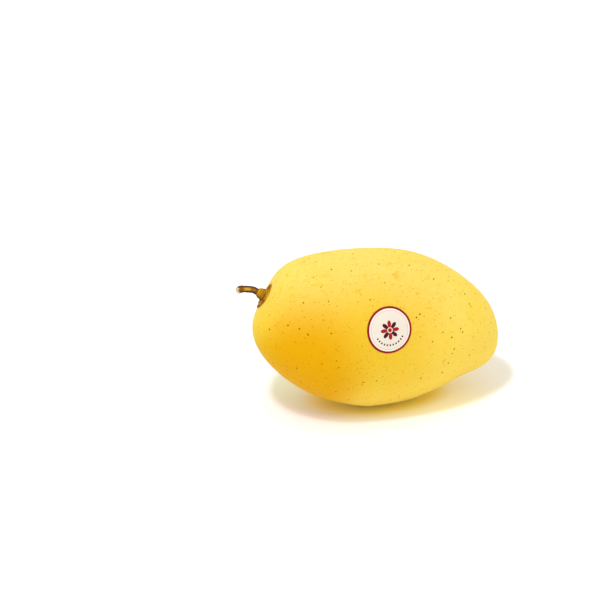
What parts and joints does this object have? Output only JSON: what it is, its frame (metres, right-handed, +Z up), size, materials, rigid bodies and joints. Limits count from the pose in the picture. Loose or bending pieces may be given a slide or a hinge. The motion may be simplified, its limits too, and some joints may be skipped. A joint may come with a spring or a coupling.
{
  "type": "ripe mango with stalk and sticker",
  "caption": "Ripe yellow mango lying on its belly, with a bent dry stalk on a green knuckle and a corky collar, and a round paper sticker on one cheek.",
  "frame": {"origin": "on the small flat spot that the fruit rests on, straight below its centre of mass", "axes": "+X along the fruit from the stem towards the beak, +Y away from the stickered cheek, +Z up"},
  "size_m": [0.1406, 0.0825, 0.084],
  "materials": {
    "skin": "satin",
    "cork": "matte",
    "green_stem": "matte",
    "dry_stalk": "matte",
    "label_paper": "satin"
  },
  "bodies": {
    "root": {"fruit": "skin", "stem_collar": "cork", "stem_knuckle": "green_stem", "stalk": "dry_stalk", "label": "label_paper"}
  },
  "joints": []
}
